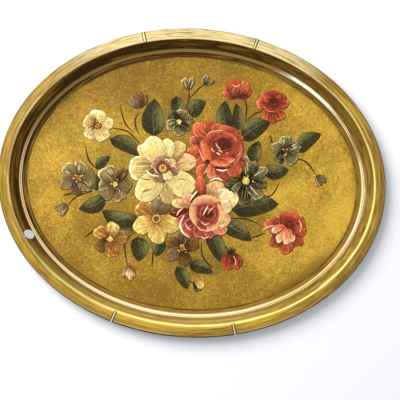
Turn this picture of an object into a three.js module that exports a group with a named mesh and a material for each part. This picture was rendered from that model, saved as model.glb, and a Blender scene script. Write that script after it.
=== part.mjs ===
// Oval painted tin tray: one pressed steel pan with a flat floor, a bead, a sloping wall and a
// turned-down rim band whose edge is rolled over a wire. Four thin straps cross the rim band,
// two at the front and two at the back, and a round price sticker is stuck on the wall.
// Millimetres, +Z up, +X along the oval. The origin is the centre of the underside.
import * as THREE from "three";

// The oval's outer edge, and the pressed sheet.
const HALF_LENGTH = 280;
const HALF_WIDTH = 224;
const SHEET = 0.8;
const ROUND_STEPS = 72;
const CURVE_STEPS = 3;
const ON_AXIS = 0.001;

// Section of the sheet's upper face. An inset is a distance in from the oval's outer edge.
const FLOOR_INSET = 38.4;
const BEAD_FOOT_INSET = 32.4;
const BEAD_CREST_INSET = 29.6;
const BEAD_HEIGHT = 5;
const BEAD_VALLEY = 1.8;
const BEAD_SHOULDER = 0.55;
const WALL_FOOT = { inset: 26.8, height: 4.6 };
const WALL_TOP = { inset: 17.9, height: 21.7 };
const RIDGE = { inset: 16.9, height: 23.1 };
const BAND_START = { inset: 15.4, height: 22.6 };
const BAND_END_SLOPE = THREE.MathUtils.degToRad(30);

// The rolled edge and the wire inside it.
const ROLL_RADIUS = 2.4;
const ROLL_HEIGHT = 16.6;
const ROLL_TURN = THREE.MathUtils.degToRad(275);
const WIRE_RADIUS = 1;
const WIRE_SIDES = 8;

// Straps across the rim band, by their angle round the oval from its right-hand end.
const STRAP_ANGLES = {
  rim_strap_back_right: 73,
  rim_strap_back_left: 108,
  rim_strap_front_left: 249,
  rim_strap_front_right: 286,
};
const STRAP_WIDTH = 3.4;
const STRAP_THICKNESS = 0.9;
const TOUCH_GAP = 0.3;
const STRAP_ROLL_STEPS = 3;

// The price sticker.
const STICKER_ANGLE = 207.6;
const STICKER_RADIUS = 9.5;
const STICKER_THICKNESS = 0.2;
const STICKER_CLEARANCE = 0.6;
const STICKER_SIDES = 32;

const goldLacquer = { color: 0xb8963c, roughness: 0.35, metalness: 0.3 };
const strapGold = { color: 0xd9c27a, roughness: 0.3, metalness: 0.4 };
const bareSteel = { color: 0x8f8f8a, roughness: 0.45, metalness: 1 };
const whitePaper = { color: 0xf4f2ec, roughness: 0.8, metalness: 0 };

function named(name, geometry, finish) {
  const mesh = new THREE.Mesh(geometry, new THREE.MeshStandardMaterial(finish));
  mesh.name = name;
  return mesh;
}

// A point of the section: x is the radius on the round blank, y the height.
function sectionPoint(inset, height) {
  return new THREE.Vector2(HALF_LENGTH - inset, height);
}

// The centre of the rolled edge.
const rollCentre = sectionPoint(ROLL_RADIUS, ROLL_HEIGHT);

// The upper face of the sheet from the floor's edge to the hidden end of the roll.
function upperFace() {
  const floorEdge = sectionPoint(FLOOR_INSET, SHEET);
  const beadCrest = sectionPoint(BEAD_CREST_INSET, BEAD_HEIGHT);
  const wallFoot = sectionPoint(WALL_FOOT.inset, WALL_FOOT.height);
  const wallTop = sectionPoint(WALL_TOP.inset, WALL_TOP.height);
  const ridge = sectionPoint(RIDGE.inset, RIDGE.height);
  const bandStart = sectionPoint(BAND_START.inset, BAND_START.height);
  const rollStart = Math.PI / 2 - BAND_END_SLOPE;
  const bandEnd = new THREE.Vector2(Math.cos(rollStart), Math.sin(rollStart))
    .multiplyScalar(ROLL_RADIUS)
    .add(rollCentre);
  const bandBend = new THREE.Vector2(-Math.cos(BAND_END_SLOPE), Math.sin(BAND_END_SLOPE))
    .multiplyScalar((bandEnd.x - bandStart.x) / 2)
    .add(bandEnd);
  const face = new THREE.Path();
  face.moveTo(floorEdge.x, floorEdge.y);
  face.quadraticCurveTo(
    HALF_LENGTH - (FLOOR_INSET + BEAD_FOOT_INSET) / 2,
    SHEET,
    HALF_LENGTH - BEAD_FOOT_INSET,
    BEAD_HEIGHT / 2 + SHEET / 2,
  );
  face.quadraticCurveTo(
    HALF_LENGTH - THREE.MathUtils.lerp(BEAD_FOOT_INSET, BEAD_CREST_INSET, BEAD_SHOULDER),
    BEAD_HEIGHT,
    beadCrest.x,
    beadCrest.y,
  );
  face.quadraticCurveTo(
    HALF_LENGTH - (WALL_FOOT.inset + BEAD_CREST_INSET) / 2,
    BEAD_HEIGHT - BEAD_VALLEY,
    wallFoot.x,
    wallFoot.y,
  );
  face.lineTo(wallTop.x, wallTop.y);
  face.quadraticCurveTo(ridge.x, ridge.y, bandStart.x, bandStart.y);
  face.quadraticCurveTo(bandBend.x, bandBend.y, bandEnd.x, bandEnd.y);
  face.absarc(rollCentre.x, rollCentre.y, ROLL_RADIUS, rollStart, rollStart - ROLL_TURN, true);
  return face.getPoints(CURVE_STEPS);
}

// The same run of points moved sideways, to the left of its direction when distance is positive.
function offset(points, distance) {
  const side = (from, to) => new THREE.Vector2(from.y - to.y, to.x - from.x).normalize();
  return points.map((point, i) => {
    const before = side(points[Math.max(i - 1, 0)], points[Math.max(i, 1)]);
    const last = points.length - 1;
    const after = side(points[Math.min(i, last - 1)], points[Math.min(i + 1, last)]);
    const mitre = before.add(after).normalize();
    return mitre.multiplyScalar(distance / mitre.dot(after)).add(point);
  });
}

// Stretches a ring turned about Z into the oval, keeping every inset square to the oval's edge.
function ovalise(geometry) {
  const position = geometry.getAttribute("position");
  for (let i = 0; i < position.count; i++) {
    const radius = Math.hypot(position.getX(i), position.getY(i));
    if (radius < ON_AXIS) continue;
    const angle = Math.atan2(position.getY(i), position.getX(i));
    const place = ovalPlace(angle, HALF_LENGTH - radius);
    position.setXY(i, place.x, place.y);
  }
  geometry.computeVertexNormals();
  return geometry;
}

function ovalNormal(angle) {
  return new THREE.Vector2(HALF_WIDTH * Math.cos(angle), HALF_LENGTH * Math.sin(angle)).normalize();
}

function ovalPlace(angle, inset) {
  const edge = new THREE.Vector2(HALF_LENGTH * Math.cos(angle), HALF_WIDTH * Math.sin(angle));
  return edge.addScaledVector(ovalNormal(angle), -inset);
}

function ovalRing(section) {
  return ovalise(new THREE.LatheGeometry(section, ROUND_STEPS).rotateX(Math.PI / 2));
}

function trayPan(upper) {
  const lower = offset(upper, -SHEET);
  const section = [new THREE.Vector2(0, 0), ...lower, ...upper.toReversed(), new THREE.Vector2(0, SHEET)];
  return named("tray_pan", ovalRing(section), goldLacquer);
}

function rimWire() {
  const section = [];
  for (let i = 0; i <= WIRE_SIDES; i++) {
    const turn = (2 * Math.PI * (i % WIRE_SIDES)) / WIRE_SIDES;
    const spoke = new THREE.Vector2(Math.cos(turn), Math.sin(turn));
    section.push(spoke.multiplyScalar(WIRE_RADIUS).add(rollCentre));
  }
  return named("rim_wire", ovalRing(section), bareSteel);
}

// A strap follows the band from the ridge over the edge and part of the way round the roll.
function rimStrap(name, degrees, upper) {
  const first = upper.findIndex((point) => point.x > HALF_LENGTH - RIDGE.inset);
  const rollPoints = 2 * CURVE_STEPS;
  const run = upper.slice(first, upper.length - rollPoints + STRAP_ROLL_STEPS);
  const local = run.map((point) => new THREE.Vector2(point.x - HALF_LENGTH, point.y));
  const outline = [...offset(local, TOUCH_GAP), ...offset(local, TOUCH_GAP + STRAP_THICKNESS).reverse()];
  const shape = new THREE.Shape(outline);
  const geometry = new THREE.ExtrudeGeometry(shape, { depth: STRAP_WIDTH, bevelEnabled: false });
  geometry.translate(0, 0, -STRAP_WIDTH / 2);
  const angle = THREE.MathUtils.degToRad(degrees);
  const normal = ovalNormal(angle);
  const outward = new THREE.Vector3(normal.x, normal.y, 0);
  const up = new THREE.Vector3(0, 0, 1);
  const along = new THREE.Vector3().crossVectors(outward, up);
  const edge = ovalPlace(angle, 0);
  const frame = new THREE.Matrix4().makeBasis(outward, up, along).setPosition(edge.x, edge.y, 0);
  return named(name, geometry.applyMatrix4(frame), strapGold);
}

// The sticker is a flat disc that faces inwards and up, square to the wall.
function priceSticker() {
  const angle = THREE.MathUtils.degToRad(STICKER_ANGLE);
  const rise = WALL_TOP.height - WALL_FOOT.height;
  const run = WALL_FOOT.inset - WALL_TOP.inset;
  const slope = Math.atan2(rise, run);
  const normal = ovalNormal(angle);
  const facing = new THREE.Vector3(
    -normal.x * Math.sin(slope),
    -normal.y * Math.sin(slope),
    Math.cos(slope),
  );
  const middle = ovalPlace(angle, (WALL_FOOT.inset + WALL_TOP.inset) / 2);
  const disc = new THREE.CylinderGeometry(STICKER_RADIUS, STICKER_RADIUS, STICKER_THICKNESS, STICKER_SIDES);
  const sticker = named("price_sticker", disc, whitePaper);
  sticker.quaternion.setFromUnitVectors(new THREE.Vector3(0, 1, 0), facing);
  sticker.position.set(middle.x, middle.y, (WALL_FOOT.height + WALL_TOP.height) / 2);
  sticker.position.addScaledVector(facing, STICKER_CLEARANCE);
  return sticker;
}

const upper = upperFace();
const tray = new THREE.Group();
tray.name = "painted_oval_tray";
tray.add(trayPan(upper), rimWire(), priceSticker());

for (const [name, degrees] of Object.entries(STRAP_ANGLES)) {
  tray.add(rimStrap(name, degrees, upper));
}

export default tray;
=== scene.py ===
"""Oval painted tin tray: builds the pan, straps, sticker and painted bouquet round the fixed frame."""
import math
import random

import bpy
from mathutils import Matrix, Vector


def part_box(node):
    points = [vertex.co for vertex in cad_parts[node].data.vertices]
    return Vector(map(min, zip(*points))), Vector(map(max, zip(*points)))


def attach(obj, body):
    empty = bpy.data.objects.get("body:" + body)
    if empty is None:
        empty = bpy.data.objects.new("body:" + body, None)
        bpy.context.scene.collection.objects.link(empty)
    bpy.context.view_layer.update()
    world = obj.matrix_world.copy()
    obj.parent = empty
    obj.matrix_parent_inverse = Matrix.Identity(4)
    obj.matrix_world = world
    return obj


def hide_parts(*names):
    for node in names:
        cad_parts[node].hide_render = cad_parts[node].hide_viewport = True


bl_info = {
    "name": "Painted Oval Tray",
    "version": (1, 0, 0),
    "blender": (4, 5, 0),
    "location": "View3D > Sidebar > Painted Tray",
    "description": "Builds an oval painted tin tray with a bouquet on an antiqued gold ground",
    "category": "Object",
}

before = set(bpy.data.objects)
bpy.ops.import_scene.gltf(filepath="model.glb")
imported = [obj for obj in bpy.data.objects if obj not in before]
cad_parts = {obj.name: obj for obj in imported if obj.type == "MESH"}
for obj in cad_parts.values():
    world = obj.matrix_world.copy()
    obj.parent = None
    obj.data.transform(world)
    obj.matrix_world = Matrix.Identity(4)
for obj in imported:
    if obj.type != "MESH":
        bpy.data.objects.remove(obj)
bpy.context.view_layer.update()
pan_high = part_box("tray_pan")[1]

MM = 0.001
BODY = "root"
ORIGIN = (0.0, 0.0, 0.0)


# Shader maths

class Socket:
    """An output of a shader node. Arithmetic on it adds Math nodes to the same finish."""

    def __init__(self, finish, output):
        self.finish = finish
        self.output = output

    def math(self, operation, *operands):
        return self.finish.node("ShaderNodeMath", {"operation": operation}, dict(enumerate(operands)))

    def __add__(self, other):
        return self.math("ADD", self, other)

    __radd__ = __add__

    def __mul__(self, other):
        return self.math("MULTIPLY", self, other)

    __rmul__ = __mul__

    def __sub__(self, other):
        return self.math("SUBTRACT", self, other)

    def __rsub__(self, other):
        return self.math("SUBTRACT", other, self)

    def __truediv__(self, other):
        return self.math("DIVIDE", self, other)

    def __pow__(self, other):
        return self.math("POWER", self, other)

    def least(self, other):
        return self.math("MINIMUM", self, other)

    def most(self, other):
        return self.math("MAXIMUM", self, other)

    def size(self):
        return self.math("ABSOLUTE", self)

    def fraction(self):
        return self.math("FRACT", self)

    def ramp(self, low, high, out_low=0.0, out_high=1.0):
        """Smoothly from out_low at low to out_high at high."""
        settings = {"interpolation_type": "SMOOTHSTEP", "clamp": True}
        sockets = {"Value": self, "From Min": low, "From Max": high, "To Min": out_low, "To Max": out_high}
        return self.finish.node("ShaderNodeMapRange", settings, sockets)

    def peak(self, middle, reach):
        """1 at middle, falling smoothly to 0 at reach on either side."""
        return (self - middle).size().ramp(0.0, reach, 1.0, 0.0)


# Old varnish hardly shines, and lacquer where it isn't polished
FAINT_SPECULAR = 0.05


class Finish:
    """A material on a Principled shader, built with node() and mix()."""

    def __init__(self, name, roughness=0.5, metallic=0.0, coat=0.0, coat_roughness=0.1):
        self.material = bpy.data.materials.new(name)
        self.material.use_nodes = True
        self.tree = self.material.node_tree
        self.shader = self.tree.nodes["Principled BSDF"]
        self.set("Roughness", roughness)
        self.set("Metallic", metallic)
        self.set("Coat Weight", coat)
        self.set("Coat Roughness", coat_roughness)

    def set(self, socket, value):
        self._feed(self.shader.inputs[socket], value)

    def _feed(self, socket, value):
        if isinstance(value, Socket):
            self.tree.links.new(value.output, socket)
        else:
            socket.default_value = value

    def node(self, kind, settings=None, sockets=None, output=0):
        made = self.tree.nodes.new(kind)
        for name, value in (settings or {}).items():
            if name == "stops":
                self._stops(made.color_ramp, value)
            else:
                setattr(made, name, value)
        for name, value in (sockets or {}).items():
            self._feed(made.inputs[name], value)
        return Socket(self, made.outputs[output])

    def _stops(self, ramp, stops):
        while len(ramp.elements) < len(stops):
            ramp.elements.new(1.0)
        for element, (place, colour) in zip(ramp.elements, stops):
            element.position = place
            element.color = colour

    def mix(self, factor, first, second, blend="MIX"):
        """A colour mix: 6 and 7 are the node's colour inputs, 2 its colour output."""
        settings = {"data_type": "RGBA", "blend_type": blend}
        return self.node("ShaderNodeMix", settings, {0: factor, 6: first, 7: second}, 2)

    def place(self, scale=(1.0, 1.0, 1.0), turn=(0.0, 0.0, 0.0)):
        """Object coordinates, scaled and turned."""
        spot = self.node("ShaderNodeTexCoord", output="Object")
        return self.node("ShaderNodeMapping", {}, {"Vector": spot, "Scale": scale, "Rotation": turn})

    def axis(self, vector, name):
        return self.node("ShaderNodeSeparateXYZ", {}, {"Vector": vector}, name)

    def noise(self, vector, scale, detail=4.0, roughness=0.55, distortion=0.0):
        sockets = {"Vector": vector, "Scale": scale, "Detail": detail,
                   "Roughness": roughness, "Distortion": distortion}
        return self.node("ShaderNodeTexNoise", {}, sockets, "Fac")

    def bump(self, height, strength, distance):
        sockets = {"Strength": strength, "Distance": distance, "Height": height}
        self.set("Normal", self.node("ShaderNodeBump", {}, sockets))


def layered(finish, base, *layers):
    """Lays each colour over those before it, through its mask."""
    for mask, shade in layers:
        base = finish.mix(mask, base, shade)
    return base


def shade_of(rgb, share=1.0, towards=(0.0, 0.0, 0.0)):
    return tuple(a * share + b * (1 - share) for a, b in zip(rgb, towards)) + (1.0,)


# Mesh helpers

def deselect_all():
    if bpy.context.object and bpy.context.object.mode != "OBJECT":
        bpy.ops.object.mode_set(mode="OBJECT")
    bpy.ops.object.select_all(action="DESELECT")


def begin_circle(sides, fill="NGON"):
    """A flat round mesh of radius 1, in edit mode with all of it selected."""
    deselect_all()
    bpy.ops.mesh.primitive_circle_add(vertices=sides, radius=1.0, fill_type=fill)
    bpy.ops.object.mode_set(mode="EDIT")
    bpy.ops.mesh.select_all(action="SELECT")
    return bpy.context.object


def end_outward():
    """Turns the edited mesh's faces outwards and leaves edit mode."""
    bpy.ops.mesh.select_all(action="SELECT")
    bpy.ops.mesh.normals_make_consistent(inside=False)
    bpy.ops.object.mode_set(mode="OBJECT")


def finished(piece, name, slot, *finishes):
    """Names a piece, puts its place in its mesh, gives it its finishes and rides it on the tray."""
    deselect_all()
    piece.select_set(True)
    bpy.context.view_layer.objects.active = piece
    bpy.ops.object.transform_apply(location=True, rotation=True, scale=True)
    piece.name = name
    piece.data.name = name
    piece.data.materials.clear()
    for finish in finishes:
        piece.data.materials.append(finish.material)
    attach(piece, BODY)
    return piece


def apply_modifier(piece, kind, **settings):
    modifier = piece.modifiers.new(kind.title(), kind)
    for name, value in settings.items():
        setattr(modifier, name, value)
    bpy.context.view_layer.objects.active = piece
    bpy.ops.object.modifier_apply(modifier=modifier.name)


# Sizes and colours

def length(name, description, default):
    return bpy.props.FloatProperty(
        name=name, description=description, default=default, subtype="DISTANCE", unit="LENGTH", precision=5
    )


def tint(name, description, default):
    return bpy.props.FloatVectorProperty(
        name=name, description=description, default=default, subtype="COLOR", size=3, min=0.0, max=1.0
    )


class TraySizes(bpy.types.PropertyGroup):
    half_length: length("Half length", "Centre to outer edge along the oval", pan_high[0])
    half_width: length("Half width", "Centre to outer edge across the oval", pan_high[1])
    sheet: length("Sheet", "Thickness of the pressed steel", 0.8 * MM)
    floor_inset: length("Floor inset", "Outer edge to the flat floor", 38.4 * MM)
    bead_foot: length("Bead foot", "Outer edge to the bead's inner foot", 32.4 * MM)
    bead_crest: length("Bead crest", "Outer edge to the top of the bead", 29.6 * MM)
    bead_height: length("Bead height", "Height of the bead's crest", 5 * MM)
    bead_valley: length("Bead valley", "Depth of the pull between bead and wall", 1.8 * MM)
    wall_foot: length("Wall foot", "Outer edge to the foot of the wall", 26.8 * MM)
    wall_foot_height: length("Wall foot height", "Height of the foot of the wall", 4.6 * MM)
    wall_top: length("Wall top", "Outer edge to the top of the wall", 17.9 * MM)
    wall_top_height: length("Wall top height", "Height of the top of the wall", 21.7 * MM)
    ridge: length("Ridge", "Outer edge to the sharp ridge", 16.9 * MM)
    ridge_height: length("Ridge height", "Height that the ridge bends round", 23.1 * MM)
    band_start: length("Band start", "Outer edge to the inner side of the rim band", 15.4 * MM)
    band_height: length("Band height", "Height of the band's inner side", 22.6 * MM)
    roll_radius: length("Roll radius", "Outside radius of the rolled edge", 2.4 * MM)
    roll_height: length("Roll height", "Height of the rolled edge's centre", 16.6 * MM)
    strap_width: length("Strap width", "Width of each strap across the rim", 3.4 * MM)
    strap_rise: length("Strap rise", "Height of a strap above the band", 1.1 * MM)
    sticker_radius: length("Sticker radius", "Radius of the paper dot", 9.5 * MM)
    paint_step: length("Paint step", "Height of each brush mark above the one before", 0.003 * MM)


class TrayColours(bpy.types.PropertyGroup):
    gold_light: tint("Light gold", "Bright patches of the ground", (0.72, 0.45, 0.054))
    gold: tint("Gold", "The ground's main colour", (0.50, 0.292, 0.036))
    gold_dark: tint("Dark gold", "Olive mottling of the ground", (0.285, 0.155, 0.022))
    # This brown also paints the shade on the wall at the back, the rim's shaded side and the floor's back
    # edge
    umber: tint("Umber", "Brown antiquing on the wall and round the floor", (0.085, 0.036, 0.008))
    # This colour also paints the highlights along the bead and its wide sheen at the right
    straw: tint("Straw", "Worn edges of the rim and bead", (0.92, 0.72, 0.36))
    # A painted highlight along the ridge
    lemon: tint("Lemon", "Light along the ridge", (1.0, 0.90, 0.30))
    # This colour also paints the highlight along the straps' crowns
    frost: tint("Frost", "Rim band where the light washes it out", (0.90, 0.81, 0.46))
    # A painted highlight and glint along the bead
    shine: tint("Shine", "Light along the bead", (1.0, 0.95, 0.72))
    underside: tint("Underside", "Plain lacquer under the tray", (0.020, 0.016, 0.012))
    steel: tint("Steel", "Bare wire in the rolled edge", (0.30, 0.29, 0.28))
    paper: tint("Paper", "Blank paper dot", (0.86, 0.87, 0.88))
    white: tint("White", "Highest lights of the flowers", (0.97, 0.88, 0.58))
    cream: tint("Cream", "Petals of the big blossom", (0.84, 0.70, 0.27))
    peach: tint("Peach", "Warm half tones of pale petals", (0.80, 0.49, 0.19))
    blush: tint("Blush", "Light edges of the red petals", (0.95, 0.55, 0.30))
    pink: tint("Pink", "Petals of the lower rose", (0.69, 0.275, 0.135))
    coral_light: tint("Light coral", "Turned edges of the coral rose", (0.80, 0.235, 0.095))
    coral: tint("Coral", "Petals of the coral rose", (0.62, 0.125, 0.045))
    brick: tint("Brick", "Rose petals out of the light", (0.44, 0.085, 0.034))
    rose: tint("Rose", "Folds of the lower rose", (0.46, 0.095, 0.060))
    blossom: tint("Blossom", "Pinkish cream", (0.80, 0.60, 0.36))
    dusk: tint("Dusk", "Small petals round the blossom's heart", (0.31, 0.14, 0.095))
    wheat: tint("Wheat", "Half tones of the cream petals", (0.60, 0.40, 0.14))
    red: tint("Red", "Lower petals and buds", (0.36, 0.048, 0.027))
    crimson: tint("Crimson", "Shaded folds of the roses", (0.22, 0.030, 0.022))
    maroon: tint("Maroon", "Hearts of the roses", (0.095, 0.016, 0.008))
    yellow: tint("Yellow", "Golden petals and stamens", (0.79, 0.58, 0.15))
    orange: tint("Orange", "Fading flowers", (0.40, 0.155, 0.028))
    lilac: tint("Lilac", "Pale mauve petals", (0.38, 0.25, 0.10))
    mauve: tint("Mauve", "Mauve petals", (0.215, 0.152, 0.060))
    plum: tint("Plum", "Shaded mauve petals", (0.115, 0.060, 0.030))
    sage: tint("Sage", "Grey green petals and buds", (0.215, 0.175, 0.076))
    leaf_light: tint("Light leaf", "Light side of the leaves", (0.185, 0.172, 0.054))
    leaf: tint("Leaf", "The leaves' main green", (0.036, 0.031, 0.010))
    leaf_dark: tint("Dark leaf", "Shaded leaves", (0.012, 0.009, 0.004))
    stem: tint("Stem", "Stems and dark outlines", (0.050, 0.021, 0.005))
    brown: tint("Brown", "Warm shadows in pale petals", (0.19, 0.080, 0.020))


# The pan

def curve_points(start, bend, end, steps):
    """Points of a quadratic curve, without its start."""
    found = []
    for i in range(1, steps + 1):
        t = i / steps
        found.append(start * (1 - t) ** 2 + bend * (2 * t * (1 - t)) + end * t ** 2)
    return found


BAND_END_SLOPE = math.radians(30)
ROLL_TURN = math.radians(275)


def section(size, steps=6):
    """The sheet's upper face from the floor's edge to the hidden end of the roll, as (inset, height)."""
    point = lambda inset, height: Vector((inset, height))
    floor_edge = point(size.floor_inset, size.sheet)
    bead_foot = point(size.bead_foot, (size.bead_height + size.sheet) / 2)
    bead_crest = point(size.bead_crest, size.bead_height)
    wall_foot = point(size.wall_foot, size.wall_foot_height)
    wall_top = point(size.wall_top, size.wall_top_height)
    band_start = point(size.band_start, size.band_height)
    roll = point(size.roll_radius, size.roll_height)
    roll_start = math.pi / 2 - BAND_END_SLOPE
    band_end = roll + size.roll_radius * point(-math.cos(roll_start), math.sin(roll_start))
    half = (band_start.x - band_end.x) / 2
    band_bend = band_end + half * point(math.cos(BAND_END_SLOPE), math.sin(BAND_END_SLOPE))
    face = [floor_edge]
    cove = point((size.floor_inset + size.bead_foot) / 2, size.sheet)
    face += curve_points(floor_edge, cove, bead_foot, steps)
    bead_inner = 0.45 * size.bead_foot + 0.55 * size.bead_crest
    face += curve_points(bead_foot, point(bead_inner, size.bead_height), bead_crest, steps)
    valley = point((size.wall_foot + size.bead_crest) / 2, size.bead_height - size.bead_valley)
    face += curve_points(bead_crest, valley, wall_foot, steps)
    face += [wall_foot.lerp(wall_top, i / 4) for i in range(1, 5)]
    face += curve_points(wall_top, point(size.ridge, size.ridge_height), band_start, steps)
    face += curve_points(band_start, band_bend, band_end, 2 * steps)
    for i in range(1, 3 * steps + 1):
        turn = roll_start - ROLL_TURN * i / (3 * steps)
        face.append(roll + size.roll_radius * point(-math.cos(turn), math.sin(turn)))
    return face


ROUND_STEPS = 256
FLOOR_RINGS = (0.96, 0.9, 0.8, 0.6, 0.4, 0.2)
RIM_REACH = 44.0
PER_METRE = 1000.0


def rim_stops(stops):
    """Colours by inset in millimetres, as a ramp over the rim's reach."""
    return [(inset / RIM_REACH, shade) for inset, shade in stops]


# Soft olive shade painted behind the bouquet: middle, reach along and across, strength
SHADES = (
    ((0.012, 0.000), 0.098, 0.085, 0.55),
    ((0.090, 0.030), 0.080, 0.045, 0.50),
    ((-0.100, 0.015), 0.060, 0.050, 0.30),
    ((-0.020, 0.100), 0.040, 0.040, 0.40),
    ((0.020, -0.105), 0.060, 0.035, 0.40),
    ((-0.080, -0.085), 0.065, 0.035, 0.28),
    ((0.080, -0.045), 0.060, 0.030, 0.40),
    ((0.060, 0.105), 0.050, 0.030, 0.35),
)


def gold_ground(colours):
    """Antiqued gold: mottled and speckled on the floor, streaked along the rim, brown in the folds, with
    painted light, painted shade and painted highlights laid over it.
    """
    finish = Finish("gold_ground", roughness=0.38, coat_roughness=0.14)
    finish.set("Specular IOR Level", FAINT_SPECULAR)
    spot = finish.place()
    east, north = finish.axis(spot, "X"), finish.axis(spot, "Y")
    inset = finish.node("ShaderNodeAttribute", {"attribute_name": "inset"}, {}, "Fac") * PER_METRE
    hairs = finish.noise(finish.place((95.0, 210.0, 1.0)), 1.0, 4.0, 0.65, 3.2)
    cross = finish.noise(finish.place((260.0, 130.0, 1.0)), 1.0, 4.0, 0.65, 2.6)
    brush = hairs * 0.5 + cross * 0.5
    grain = finish.noise(spot, 230.0, 4.0, 0.7, 0.8)

    # Long streaks that follow the rim: noise by direction from the middle and by inset
    way = finish.node("ShaderNodeVectorMath", {"operation": "NORMALIZE"}, {0: finish.place((0.8, 1.0, 0.0))})
    way = finish.node("ShaderNodeVectorMath", {"operation": "SCALE"}, {0: way, "Scale": 3.2})
    lanes = finish.node("ShaderNodeCombineXYZ", {}, {"Z": inset * 0.27})
    way = finish.node("ShaderNodeVectorMath", {"operation": "ADD"}, {0: way, 1: lanes})
    drag = finish.noise(way, 1.0, 5.0, 0.6)
    fine = finish.noise(way, 3.0, 4.0, 0.65)

    band = inset.ramp(16.6, 17.3, 1.0, 0.0)
    # Painted shade on the bead at the upper left; the coat is thinner there too
    upper_left_shade = (north - east * 0.2 + drag * 0.1).ramp(0.10, 0.19, 0.0, 0.85)
    floor = floor_gold(finish, colours, spot, east, north, inset, brush, grain)
    rim = rim_gold(finish, colours, east, north, inset, drag, fine, band, upper_left_shade)
    on_rim = (inset + (brush - 0.5) * 3.0).ramp(38.4, 40.6, 1.0, 0.0)
    finish.set("Base Color", finish.mix(on_rim, floor, rim))
    finish.set("Roughness", (drag * 0.4 + grain * 0.6).ramp(0.3, 0.7, 0.3, 0.5))
    gloss = inset.peak(29.5, 3.4).most(inset.peak(16.6, 2.2)) * 0.5 * (1 - upper_left_shade) + band * 0.06 + 0.01
    finish.set("Coat Weight", gloss.least(1.0) * on_rim + 0.02)
    finish.bump(brush * 0.5 + grain * 0.3 + drag * on_rim * 0.5, 0.3, 0.0003)
    return finish


def mixed(colours, first, share, second):
    return shade_of(getattr(colours, first), share, getattr(colours, second))


def floor_gold(finish, colours, spot, east, north, inset, brush, grain):
    """Clouds, short crossing dabs and fine specks under painted light, with brown darkening towards the
    floor's edge at the right, the front and the upper right corner, painted shade along the back edge and a
    brown smudge at the lower right.
    """
    umber = shade_of(colours.umber)
    cloud = finish.noise(spot, 12.0, 5.0, 0.6, 0.6)
    speck = finish.noise(spot, 560.0, 2.0, 0.7)
    warm = finish.noise(spot, 19.0, 4.0, 0.5, 1.4)
    tone = cloud * 0.5 + brush * 1.0 + grain * 0.35 + speck * 0.1 - 0.505
    # The tone plus painted light, brighter towards the right and darker towards the back and the front
    lit = tone + east * (east * 0.9 + 0.20) - north * north * 0.45
    base = finish.mix(lit.ramp(0.38, 0.52), shade_of(colours.gold_dark), shade_of(colours.gold))
    base = finish.mix(lit.ramp(0.51, 0.62), base, shade_of(colours.gold_light))
    olive = finish.mix(1.0, base, (0.80, 0.90, 0.70, 1.0), "MULTIPLY")
    straw_dabs = brush.ramp(0.55, 0.66, 0.0, 0.55) * lit.ramp(0.42, 0.55)
    fleck = (speck * 0.4 + grain * 0.6).ramp(0.30, 0.42, 0.35, 0.0)
    shade = None
    for (x, y), along, across, strength in SHADES:
        reach = ((east - x) / along) ** 2.0 + ((north - y) / across) ** 2.0
        blob = (reach + (brush - 0.5) * 1.2 + (warm - 0.5) * 0.8).ramp(0.35, 1.15, strength, 0.0)
        shade = blob if shade is None else shade.most(blob)
    worn = inset + (cloud - 0.5) * 22.0 + (brush - 0.5) * 12.0
    rough = cloud * 0.06 + brush * 0.03
    edge = worn.ramp(38.0, 48.0, 0.34, 0.0) * (east * 2.0 + 1.0).ramp(0.55, 0.95)
    # Painted shade along the back edge, most at the upper left
    back = (north - east * 0.25 + rough).ramp(0.13, 0.225, 0.0, 0.36)
    front = (north * -1.0 + cloud * 0.06).ramp(0.13, 0.225, 0.0, 0.3)
    corner = (east * 0.75 + north + rough).ramp(0.26, 0.345, 0.0, 0.10)
    smudge = (east * 0.7 - north + cloud * 0.07 + brush * 0.03).ramp(0.272, 0.305, 0.0, 0.7)
    return layered(
        finish, base,
        (warm.ramp(0.45, 0.65, 0.0, 0.5), olive),
        (grain.ramp(0.55, 0.66, 0.0, 0.5), mixed(colours, "gold_dark", 0.55, "orange")),
        (straw_dabs, mixed(colours, "straw", 0.35, "gold_light")),
        (fleck, umber),
        (shade, mixed(colours, "leaf", 0.75, "gold_dark")),
        (edge.most(back).most(front).most(smudge).most(corner), umber))


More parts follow.
